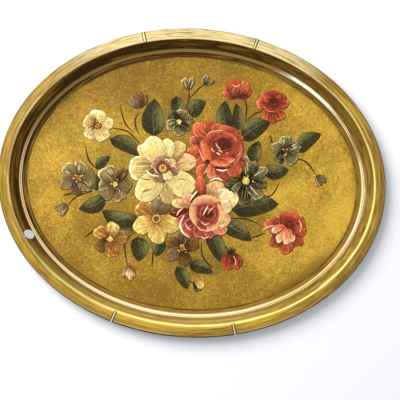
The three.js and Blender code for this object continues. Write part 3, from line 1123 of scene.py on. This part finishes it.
STEMS = (
    ((-77, 47), (-99, 67), (-123, 71)),
    ((-92, 67), (-105, 81), (-114, 106)),
    ((-82, 63), (-90, 82), (-85, 98)),
    ((-139, 8), (-153, 21), (-160, 42)),
    ((-143, -24), (-166, -33), (-179, -48)),
    ((-77, -79), (-91, -97), (-84, -130)),
    ((-150, -92), (-137, -81)),
    ((-18, 102), (-13, 122), (-14, 136)),
    ((-13, 122), (0, 138), (10, 147)),
    ((72, 92), (73, 116), (66, 132)),
    ((73, 95), (86, 107), (100, 112)),
    ((110, 77), (115, 62)),
    ((93, -10), (116, -13), (128, 7)),
    ((51, -51), (81, -49), (104, -56)),
    ((90, -77), (112, -68)),
    ((45, -66), (53, -88), (66, -100)),
    ((20, -88), (24, -109), (40, -124)),
    ((-49, -102), (-49, -128)),
    ((-186, -33), (-172, -29)),
    ((148, 46), (166, 40), (182, 22)),
    ((-10, -120), (2, -140), (14, -148)),
)

# Base, tip, width, lighter half, bend and midrib
LEAVES = (
    ((-60, 60), (-64, 119), 28, -1, 0.03, "leaf_light"),
    ((-127, 56), (-78, 33), 20, 1, 0.10, "leaf_light"),
    ((-142, 8), (-122, 29), 13, 1, 0.08, None),
    ((-122, -29), (-162, -52), 20, -1, 0.10, "leaf_light"),
    ((-70, -66), (-128, -52), 24, -1, 0.10, "leaf_light"),
    ((-74, -70), (-118, -72), 18, 1, 0.06, None),
    ((-73, -84), (-69, -122), 22, 1, 0.08, "leaf_light"),
    ((-32, 126), (-29, 96), 17, 1, 0.05, None),
    ((-11, 96), (12, 121), 20, 1, 0.10, "leaf_light"),
    ((49, 74), (40, 123), 21, 1, 0.08, "leaf_light"),
    ((60, 76), (57, 121), 14, -1, -0.06, None),
    ((66, 66), (111, 100), 24, 1, 0.06, "leaf_light"),
    ((88, 32), (94, 67), 18, -1, 0.06, None),
    ((101, 23), (141, 27), 19, 1, -0.06, "leaf_light"),
    ((150, 52), (185, 84), 19, 1, 0.12, None),
    ((58, -38), (129, -24), 28, 1, 0.05, "leaf_light"),
    ((48, -58), (93, -80), 21, 1, 0.06, "sage"),
    ((29, -72), (51, -115), 20, 1, 0.08, "leaf_light"),
    ((3, -120), (40, -131), 16, 1, 0.06, None),
    ((-14, -124), (5, -157), 16, 1, 0.05, None),
    ((-139, -24), (-138, 2), 12, 1, 0.04, None),
    ((-42, -84), (-44, -113), 18, -1, 0.05, None),
)

# Each small flower: place, scale, its petals (root, angle, length, width and tone), and its heart
SMALL_FLOWERS = {
    "mauve": (-112, -11, 1.2, ((0, 0, 350, 20, 18, "mauve"), (0, 0, 280, 22, 19, "lilac"),
        (0, 0, 232, 23, 17, "mauve"), (0, 0, 188, 21, 14, "lilac"), (0, 0, 128, 25, 23, "lilac"),
        (2, 2, 58, 20, 12, "plum")), 3.4, "gold"),
    "lilac": (-167, -6, 1.4, ((0, 0, 20, 18, 14, "mauve"), (0, 0, 80, 18, 15, "lilac"),
        (0, 0, 140, 20, 15, "lilac"), (0, 0, 205, 20, 14, "mauve"), (0, 0, 262, 18, 13, "plum"),
        (0, 0, 315, 18, 13, "lilac")), 3.0, "amber"),
    "primrose": (-144, 73, 1.15, ((0, 0, 15, 20, 18, "cream"), (0, 0, 88, 21, 20, "cream"),
        (0, 0, 155, 20, 18, "wheat"), (0, 0, 225, 21, 18, "cream_warm"),
        (0, 0, 295, 21, 19, "cream")), 4.0, "amber"),
    "faded": (-86, 111, 1.25, ((0, -6, 60, 17, 10, "brown"), (0, -6, 95, 20, 11, "brown"),
        (0, -6, 135, 17, 10, "mauve")), 0, ""),
    "olive": (-25, 87, 1.05, ((0, 0, 10, 20, 15, "grey"), (0, 0, 70, 19, 15, "grey"),
        (0, 0, 135, 20, 16, "bud"), (0, 0, 200, 19, 15, "grey"), (0, 0, 268, 20, 16, "grey"),
        (0, 0, 320, 18, 13, "bud")), 3.6, "gold"),
    "sage": (135, 55, 1.25, ((0, 0, 25, 18, 15, "grey"), (0, 0, 95, 18, 15, "grey"),
        (0, 0, 160, 18, 14, "grey"), (0, 0, 225, 17, 13, "bud"), (0, 0, 300, 18, 14, "grey")), 3.2, "plum"),
    "star": (79, 7, 1.45, ((0, 0, 30, 25, 12, "grey"), (0, 0, 62, 22, 9, "sage"), (0, 0, 95, 25, 12, "grey"),
        (0, 0, 140, 23, 12, "sage"), (0, 0, 190, 22, 12, "bud"), (0, 0, 225, 22, 10, "grey"),
        (0, 0, 262, 25, 13, "sage"), (0, 0, 310, 24, 12, "grey"), (0, 0, 345, 21, 9, "sage")), 4.0, "gold"),
    "russet": (-7, -98, 1.25, ((0, 0, 20, 20, 15, "brown"), (0, 0, 85, 18, 15, "plum"),
        (0, 0, 150, 20, 14, "brown"), (0, 0, 215, 20, 14, "mauve"),
        (0, 0, 280, 20, 14, "brown")), 3.6, "amber"),
    "fading": (-113, -92, 1.25, ((0, 0, 10, 20, 15, "amber"), (0, 0, 75, 20, 15, "gold"),
        (0, 0, 150, 21, 15, "amber"), (0, 0, 215, 20, 14, "brown"),
        (0, 0, 285, 21, 15, "amber")), 3.4, "gold"),
    "pale_bud": (-81, -135, 1.2, ((0, 6, 245, 15, 9, "lilac"), (0, 6, 285, 15, 9, "rosy"),
        (0, 6, 268, 17, 9, "cream_warm")), 0, ""),
    "low_bud": (17, -148, 1.3, ((-2, 4, 290, 13, 8, "bud"), (-2, 4, 325, 13, 8, "gold")), 0, ""),
    "left_bud": (-186, -53, 1.3, ((6, 5, 200, 15, 8, "mauve"), (6, 5, 232, 15, 8, "lilac")), 0, ""),
    "blue_bud": (-16, 143, 1.3, ((0, -6, 70, 15, 8, "grey"), (0, -6, 110, 15, 8, "lilac")), 0, ""),
    "top_bud": (12, 150, 1.3, ((-3, -4, 30, 12, 7, "mauve"), (-3, -4, 75, 12, 7, "grey")), 0, ""),
    "far_bud": (187, 17, 1.2, ((-3, 5, 280, 14, 8, "grey"), (-3, 5, 320, 13, 8, "mauve")), 0, ""),
}

# Each rosebud and big flower: x, y, level, seed and scale, then its layers of marks from the lowest up
FLOWERS = {
    "bud_top": (57, 142, 0.2, 61, 1.3, (
        ("petal", {}, (0, -10, 30, 18, 12, "brick"), (0, -10, 150, 18, 12, "coral"),
         (0, -10, 60, 21, 14, "coral"), (0, -10, 118, 20, 14, "brick"), (-1, -11, 92, 23, 12, "red"),
         (0, -11, 85, 14, 12, "crimson")),
        ("stroke", {}, (1.0, "blush", -6, 5, -1, 3, 5, 6)),
    )),
    "bud_back": (111, 123, 0.2, 62, 1.25, (
        ("petal", {}, (0, -4, 160, 20, 13, "coral"), (0, -4, 25, 20, 13, "coral"),
         (-2, -6, 235, 15, 12, "coral"), (0, -6, 270, 16, 12, "brick"), (3, -6, 305, 15, 12, "coral"),
         (0, -10, 120, 26, 15, "brick"), (0, -10, 60, 26, 15, "brick"), (0, -12, 90, 28, 20, "red")),
        ("arc", {}, (0, 4, 4, 13, 40, 140, "fold")),
        ("dot", {}, (1, 4, 6, "maroon", 0.0, 0.7)),
        ("arc", {}, (0, 5, 5, 14, 190, 280, "fold"), (1, 4, 6, 14, 250, 350, "fold")),
        ("stroke", {}, (1.1, "coral_light", -11, -2, -6, -8, 2, -9)),
    )),
    "bud_side": (138, -64, 0.2, 63, 1.15, (
        ("dot", {}, (0, 0, 15, "red", 0.0)),
        ("petal", {}, (4, 4, 165, 30, 13, "coral"), (0, 2, 140, 22, 15, "brick"), (2, 4, 90, 22, 15, "brick"),
         (4, 4, 62, 25, 16, "coral"), (6, 2, 30, 25, 16, "brick"), (6, 0, 0, 23, 15, "coral"),
         (4, -2, 325, 24, 14, "brick"), (0, -4, 285, 24, 18, "coral"), (-2, -2, 235, 20, 15, "brick"),
         (0, 4, 185, 18, 12, "red"), (4, 6, 240, 22, 11, "pale_rose"), (6, 4, 265, 20, 10, "pale_rose"),
         (2, 8, 205, 18, 9, "pale_rose"), (6, 4, 292, 18, 9, "pale_rose")),
        ("arc", {}, (6, 6, 6, 15, 20, 130, "fold"), (7, 5, 5, 11, -60, 60, "fold")),
        ("stroke", {}, (1.2, "white", -26, 2, -20, 6, -12, 8), (1.4, "blush", 20, 16, 23, 8, 21, 0)),
    )),
    "bud_low": (68, -106, 0.2, 64, 1.15, (
        ("petal", {}, (-4, 6, 240, 19, 12, "brick"), (-2, 6, 305, 20, 12, "red"), (-4, 7, 262, 23, 13, "red"),
         (-2, 7, 286, 23, 12, "brick")),
        ("stroke", {}, (1.2, "blush", 0, 2, 3, -5, 2, -11)),
        ("petal", {"hairs": 0}, (-3, 4, 60, 9, 4, "bud"), (-3, 4, 100, 9, 4, "bud"),
         (-3, 4, 140, 9, 4, "bud")),
    )),
    "golden_blossom": (-48, -58, 0.42, 71, 1.15, (
        ("petal", {}, (0, 0, 145, 31, 19, "amber"), (2, 2, 100, 27, 17, "lilac"), (2, 3, 62, 28, 18, "mauve"),
         (0, 0, 203, 31, 22, "gold"), (0, 0, 275, 31, 23, "gold"), (0, 0, 340, 32, 22, "gold")),
        ("dot", {}, (0, 0, 6.5, "brown", 0.0)),
        ("ring", {}, (4.5, 9, 1.3, "gold")),
    )),
    "cream_blossom": (-44, 17, 0.54, 81, 1.0, (
        ("dot", {}, (0, 0, 29, "amber_dark", 0.0)),
        ("petal", {}, (-6, 6, 135, 40, 22, "gold"), (0, 12, 92, 30, 15, "wheat"),
         (8, -10, 305, 46, 26, "pink"), (-2, 0, 180, 49, 35, "cream_warm"), (0, -6, 282, 47, 24, "wheat"),
         (6, 2, 14, 43, 27, "peach"), (4, 4, 54, 43, 22, "wheat"), (3, 5, 79, 39, 20, "cream"),
         (-2, -4, 232, 53, 36, "cream"), (-2, 4, 112, 45, 34, "cream"), (4, -4, 322, 52, 34, "cream")),
        ("stroke", {}, (3.0, "orange", -31, -36, -24, -33, -16, -31), (1.6, "brown", 36, -6, 42, -7, 49, -9),
         (1.4, "brown", 22, -17, 29, -16, 34, -18), (1.6, "brown", -16, -17, -24, -17, -33, -14)),
        ("dot", {}, (1, 0, 13, "brown", 0.0)),
        ("petal", {"hairs": 0.5}, (0, 0, 85, 19, 13, "dusk"), (0, 0, 112, 19, 13, "dusk"),
         (0, 0, 140, 19, 13, "dusk"), (0, 0, 172, 18, 12, "dusk"), (0, 0, 205, 22, 11, "brown"),
         (0, 0, 55, 18, 12, "brown"), (2, 2, 26, 19, 13, "peach"), (2, -1, 345, 21, 13, "dusk"),
         (-2, -4, 238, 18, 12, "dusk"), (0, -4, 262, 17, 12, "mauve"), (3, -3, 298, 16, 14, "blossom")),
        ("arc", {}, (1, 0, 9, 14, 60, 120, "dusk"), (0, 0, 8, 13, 105, 170, "dusk"),
         (0, 0, 8, 12.5, 160, 225, "dusk"), (1, 0, 7, 11, 10, 80, "dusk")),
        ("stroke", {}, (2.4, "white", -24, -3, -17, -10, -5, -12), (2.0, "sage", -20, -13, -12, -15, -3, -14),
         (1.4, "blush", -15, 3, -11, -3, -6, -9), (1.6, "white", 3, 11, 6, 13, 10, 10),
         (1.6, "blush", 12, 1, 17, 3, 21, -2), (1.4, "cream", 27, -1, 28, -5, 25, -9),
         (1.4, "blush", -2, -22, 1, -27, 6, -20)),
        ("dot", {}, (2, 0, 7.5, "amber_dark", 0.1), (0, -1, 6.0, "amber", 0.5)),
        ("ring", {}, (4.2, 8, 1.5, "gold")),
    )),
    "coral_rose": (39, 57, 0.3, 91, 1.0, (
        ("dot", {}, (-4, -6, 32, "red", 0.0)),
        ("petal", {}, (-8, 0, 168, 40, 17, "crimson"), (-6, 6, 146, 42, 22, "coral"),
         (-2, 6, 124, 35, 21, "brick"), (0, 4, 103, 29, 22, "brick"), (4, 4, 80, 26, 21, "coral"),
         (8, 4, 55, 25, 20, "brick"), (12, 2, 28, 22, 20, "brick"), (-6, -4, 186, 44, 12, "coral"),
         (-8, -8, 203, 42, 15, "brick"), (-8, -10, 217, 38, 15, "coral"), (-8, -12, 232, 44, 17, "coral"),
         (-4, -12, 254, 40, 16, "flame"), (0, -10, 276, 45, 22, "brick"), (6, -8, 322, 36, 20, "brick"),
         (4, -8, 300, 44, 22, "coral"), (8, -2, 350, 26, 15, "crimson")),
        ("dot", {}, (0, -5, 27, "crimson", 0.0)),
        ("arc", {"squash": 0.9}, (0, -7, 14, 29, 20, 100, "fold_lit"), (-1, -7, 14, 30, 80, 172, "fold_lit"),
         (1, -7, 16, 30, -58, 32, "fold_lit"), (1, -6, 12, 24, 30, 125, "fold"),
         (2, -5, 12, 23, -40, 60, "fold"), (0, -5, 12, 25, 105, 190, "fold"), (2, -4, 9, 18, -60, 25, "fold"),
         (1, -5, 12, 27, 236, 320, "lit"), (-1, -6, 11, 31, 150, 240, "lit"),
         (1, -8, 14, 26, 225, 300, "lit"), (2, -2, 8, 17, 50, 150, "fold"), (1, -3, 9, 16, 150, 250, "fold"),
         (3, -3, 7, 14, 240, 335, "fold")),
        ("dot", {}, (4, 2, 9.5, "maroon", 0.0)),
        ("arc", {}, (4, 1, 4, 8, 20, 120, "maroon"), (4, 1, 4, 9, 190, 290, "maroon")),
        ("dot", {}, (-20, -25, 4, "maroon", 0.0)),
        ("stroke", {}, (1.6, "blush", -8, 3, -5, -2, -1, -6), (2.2, "blush", -7, -11, -4, -13, -1, -15),
         (1.6, "blush", -4, -8, -1, -9, 2, -11), (1.6, "coral_light", 7, -11, 9, -12, 12, -13),
         (2.0, "blush", -14, -4, -13, -7, -10, -10), (1.6, "maroon", -10, -12, -6, -15, -1, -17),
         (1.5, "blush", -22, 14, -13, 20, 3, 22), (2.3, "white", -7, -36, 2, -38, 10, -36),
         (3.0, "maroon", -12, -33, 2, -35, 15, -33), (1.3, "blush", 28, -9, 27, -13, 24, -17),
         (1.3, "blush", -34, -34, -30, -30, -24, -29), (1.3, "blush", -20, -33, -22, -38, -25, -43),
         (1.8, "crimson", -30, 8, -31, -4, -27, -16), (1.6, "crimson", -38, 14, -35, 6, -34, -4)),
    )),
    "pink_rose": (27, -40, 0.78, 101, 1.0, (
        ("petal", {}, (2, 12, 80, 26, 26, "rosy"), (4, 14, 70, 33, 25, "peach"),
         (-8, 14, 100, 36, 16, "coral"), (10, 2, 60, 34, 18, "striped"), (12, 2, 38, 36, 26, "blossom"),
         (-18, 4, 168, 37, 14, "peach"), (-18, -2, 183, 38, 13, "maroon"), (-14, -6, 199, 36, 14, "crimson"),
         (-8, -10, 222, 38, 24, "crimson"), (-4, -12, 248, 31, 19, "crimson"),
         (0, -12, 276, 29, 19, "crimson"), (8, -12, 300, 27, 21, "rosy"), (6, -4, 330, 29, 23, "peach"),
         (10, 2, 8, 24, 21, "blossom"), (-10, 6, 150, 30, 16, "pink")),
        ("dot", {}, (-2, -4, 25, "crimson", 0.0)),
        ("arc", {}, (-2, -5, 17, 26, 255, 330, "bowl"), (-1, -4, 17, 25, -45, 40, "bowl"),
         (-2, -4, 13, 25, 190, 270, "fold"), (-3, -3, 12, 25, 130, 235, "bowl"),
         (-3, -3, 11, 25.5, 35, 160, "bowl"), (0, -4, 13, 20, -55, 50, "bowl"),
         (-1, -5, 12, 19, 250, 330, "rosefold"), (0, -5, 10, 16, -70, 40, "rosefold"),
         (-1, -5, 9, 16, 30, 120, "rosefold"), (-2, -5, 9, 16, 190, 300, "rosefold"),
         (-1, -5, 6, 12, 110, 210, "crimson"), (0, -6, 5, 11, 270, 400, "crimson")),
        ("dot", {}, (-1, -5, 7, "maroon", 0.0)),
        ("arc", {}, (-1, -5, 3, 7, 30, 130, "crimson")),
        ("stroke", {}, (1.6, "white", 0, 7, -4, 0, -8, -8), (1.3, "blush", 9, 6, 3, 0, -1, -6),
         (2.0, "blush", -11, -17, -5, -21, 1, -19), (1.8, "blush", -17, -23, -11, -29, -6, -28),
         (2.0, "blush", -34, -19, -29, -27, -25, -28), (2.6, "white", -35, -7, -41, -20, -37, -33, -27, -40),
         (2.2, "blush", -37, 3, -43, -2, -46, -8), (1.8, "lilac", -53, -4, -50, -3, -48, -4),
         (1.8, "blush", 1, -38, -5, -41, -11, -39), (3.2, "stem", -13, 26, -21, 18, -26, 9),
         (2.4, "white", -16, 28, -22, 21, -27, 14), (1.6, "blush", 24, -18, 21, -24, 15, -28),
         (1.5, "blush", 18, -8, 16, -16, 11, -22), (1.8, "coral_light", 0, 25, 12, 21, 18, 14),
         (1.8, "stem", 2, 41, 12, 44, 22, 40), (2.0, "white", 2, 43, 12, 47, 21, 43),
         (1.8, "stem", 22, 37, 32, 31, 40, 22)),
    )),
}


def paint_flower(name, finish):
    """Lays a flower's layers. A layer is a kind of mark, its options and its rows."""
    x, y, level, seed, scale, layers = FLOWERS[name]
    painter = Painter(x, y, level, seed, scale=scale)
    for kind, options, *rows in layers:
        for row in rows:
            getattr(painter, kind)(*row, **options)
    join_marks(name, finish, painter)


class PAINTEDTRAY_OT_greenery(bpy.types.Operator):
    """Brush in the stems and the leaves"""

    bl_idname = "painted_tray.greenery"
    bl_label = "Stems and leaves"

    def execute(self, context):
        stems = Painter(0, 0, 0.03, 11, 0.0)
        for points in STEMS:
            stems.line(points, STEM_WIDTH, "stem")
        join_marks("stems", paint_finish("stem_paint", 2.0, 0.25), stems)
        leaves = Painter(0, 0, 0.05, 12, 0.0)
        for leaf in LEAVES:
            leaves.leaf(*leaf)
        join_marks("leaves", paint_finish("leaf_paint", 1.2, 0.3, 0.15), leaves)
        return {"FINISHED"}


class PAINTEDTRAY_OT_small_flowers(bpy.types.Operator):
    """Paint the small flowers and buds round the bouquet"""

    bl_idname = "painted_tray.small_flowers"
    bl_label = "Small flowers and buds"

    def execute(self, context):
        finish = paint_finish("small_petals", 1.6, 0.34)
        for number, (name, flower) in enumerate(SMALL_FLOWERS.items()):
            x, y, scale, petals, heart, tone = flower
            painter = Painter(x, y, SMALL_LEVEL, SMALL_SEED + number, scale=scale)
            for petal in petals:
                painter.petal(*petal, wave=0.1, heel=0.12 if heart else 0.0)
            if heart:
                self.heart(painter, heart, tone)
            join_marks("flower_" + name, finish, painter)
        return {"FINISHED"}

    def heart(self, painter, radius, tone):
        """A dark ring, a round middle and a few loose golden stamens."""
        painter.dot(0, 0, radius * 1.3, "dark", 0.0)
        painter.dot(0, 0, radius * 0.9, tone)
        for i in range(STAMENS):
            turn = i * math.tau / STAMENS + painter.chance.uniform(-0.6, 0.6)
            away = radius * painter.chance.uniform(0.7, 1.8)
            size = painter.chance.uniform(0.6, 1.0)
            painter.dot(away * math.cos(turn), away * math.sin(turn), size, "gold")


class PAINTEDTRAY_OT_buds(bpy.types.Operator):
    """Paint the red and coral rosebuds"""

    bl_idname = "painted_tray.buds"
    bl_label = "Rosebuds"

    def execute(self, context):
        finish = paint_finish("bud_petals", 1.5, 0.32)
        for name in ROSEBUDS:
            paint_flower(name, finish)
        return {"FINISHED"}


class PAINTEDTRAY_OT_golden_blossom(bpy.types.Operator):
    """Paint the golden blossom at the lower left"""

    bl_idname = "painted_tray.golden_blossom"
    bl_label = "Golden blossom"

    def execute(self, context):
        paint_flower("golden_blossom", paint_finish("golden_petals", 1.5, 0.32))
        return {"FINISHED"}


class PAINTEDTRAY_OT_cream_blossom(bpy.types.Operator):
    """Paint the big cream blossom"""

    bl_idname = "painted_tray.cream_blossom"
    bl_label = "Cream blossom"

    def execute(self, context):
        paint_flower("cream_blossom", paint_finish("cream_petals", 1.5, 0.24))
        return {"FINISHED"}


class PAINTEDTRAY_OT_coral_rose(bpy.types.Operator):
    """Paint the coral rose"""

    bl_idname = "painted_tray.coral_rose"
    bl_label = "Coral rose"

    def execute(self, context):
        paint_flower("coral_rose", paint_finish("coral_petals", 1.4, 0.3))
        return {"FINISHED"}


class PAINTEDTRAY_OT_pink_rose(bpy.types.Operator):
    """Paint the pink rose"""

    bl_idname = "painted_tray.pink_rose"
    bl_label = "Pink rose"

    def execute(self, context):
        paint_flower("pink_rose", paint_finish("pink_petals", 1.4, 0.3))
        return {"FINISHED"}


# The studio

FLOOR_GAP = 0.2 * MM
PLACE_ROLL = math.radians(4.0)
VIEW_TILT = math.radians(4.0)
VIEW_DISTANCE = 1.0
VIEW_WIDTH = 0.577
VIEW_TARGET = Vector((0.0139, -0.0270, 0.015))
SENSOR = 36.0
KEY_PLACE, KEY_SIZE, KEY_POWER = (-0.95, 0.85, 1.3), 1.3, 33.0
SKY_STRENGTH = 0.62


class PAINTEDTRAY_OT_studio(bpy.types.Operator):
    """Set the pale floor, the soft lights and the camera"""

    bl_idname = "painted_tray.studio"
    bl_label = "Studio"

    def execute(self, context):
        scene = context.scene
        deselect_all()
        bpy.ops.mesh.primitive_plane_add(size=6.0, location=(0.0, 0.0, -FLOOR_GAP))
        floor = context.object
        floor.name = "studio_floor"
        finish = Finish("studio_floor", roughness=0.9)
        finish.set("Base Color", (0.92, 0.92, 0.93, 1.0))
        floor.data.materials.append(finish.material)

        world = bpy.data.worlds.new("studio_world")
        world.use_nodes = True
        background = world.node_tree.nodes["Background"]
        background.inputs["Color"].default_value = (0.95, 0.97, 1.0, 1.0)
        background.inputs["Strength"].default_value = SKY_STRENGTH
        scene.world = world

        self.lamp("key_lamp", KEY_PLACE, KEY_SIZE, KEY_POWER)
        self.camera(scene)
        scene.view_settings.view_transform = "Standard"
        return {"FINISHED"}

    def lamp(self, name, place, size, power):
        data = bpy.data.lights.new(name, "AREA")
        data.shape = "DISK"
        data.size = size
        data.energy = power
        lamp = bpy.data.objects.new(name, data)
        bpy.context.scene.collection.objects.link(lamp)
        lamp.location = place
        lamp.rotation_euler = (Vector(place) * -1.0).to_track_quat("-Z", "Y").to_euler()

    def camera(self, scene):
        right = Vector((math.cos(PLACE_ROLL), math.sin(PLACE_ROLL), 0.0))
        level_up = Vector((-math.sin(PLACE_ROLL), math.cos(PLACE_ROLL), 0.0))
        back = Vector((0.0, 0.0, 1.0)) * math.cos(VIEW_TILT) - level_up * math.sin(VIEW_TILT)
        up = back.cross(right)
        data = bpy.data.cameras.new("camera")
        data.sensor_width = SENSOR
        data.lens = SENSOR * VIEW_DISTANCE / VIEW_WIDTH
        camera = bpy.data.objects.new("camera", data)
        scene.collection.objects.link(camera)
        turn = Matrix((right, up, back)).transposed()
        camera.matrix_world = Matrix.Translation(VIEW_TARGET + back * VIEW_DISTANCE) @ turn.to_4x4()
        scene.camera = camera


# The add-on

class PAINTEDTRAY_PT_panel(bpy.types.Panel):
    """The tray's sizes, colours and pieces"""

    bl_idname = "PAINTEDTRAY_PT_panel"
    bl_label = "Painted tray"
    bl_space_type = "VIEW_3D"
    bl_region_type = "UI"
    bl_category = "Painted Tray"

    def draw(self, context):
        layout = self.layout
        for group in (context.scene.tray_sizes, context.scene.tray_colours):
            for name in group.__annotations__:
                layout.prop(group, name)
        for operator in OPERATORS:
            layout.operator(operator.bl_idname)


OPERATORS = (
    PAINTEDTRAY_OT_studio,
    PAINTEDTRAY_OT_pan,
    PAINTEDTRAY_OT_straps,
    PAINTEDTRAY_OT_sticker,
    PAINTEDTRAY_OT_wire,
    PAINTEDTRAY_OT_greenery,
    PAINTEDTRAY_OT_small_flowers,
    PAINTEDTRAY_OT_buds,
    PAINTEDTRAY_OT_golden_blossom,
    PAINTEDTRAY_OT_cream_blossom,
    PAINTEDTRAY_OT_coral_rose,
    PAINTEDTRAY_OT_pink_rose,
)
CLASSES = (TraySizes, TrayColours, *OPERATORS, PAINTEDTRAY_PT_panel)


def register():
    for cls in CLASSES:
        bpy.utils.register_class(cls)
    bpy.types.Scene.tray_sizes = bpy.props.PointerProperty(type=TraySizes)
    bpy.types.Scene.tray_colours = bpy.props.PointerProperty(type=TrayColours)


def unregister():
    del bpy.types.Scene.tray_colours
    del bpy.types.Scene.tray_sizes
    for cls in reversed(CLASSES):
        bpy.utils.unregister_class(cls)


def main():
    register()
    for operator in OPERATORS:
        group, name = operator.bl_idname.split(".")
        getattr(getattr(bpy.ops, group), name)()
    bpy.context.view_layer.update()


if __name__ == "__main__":
    main()
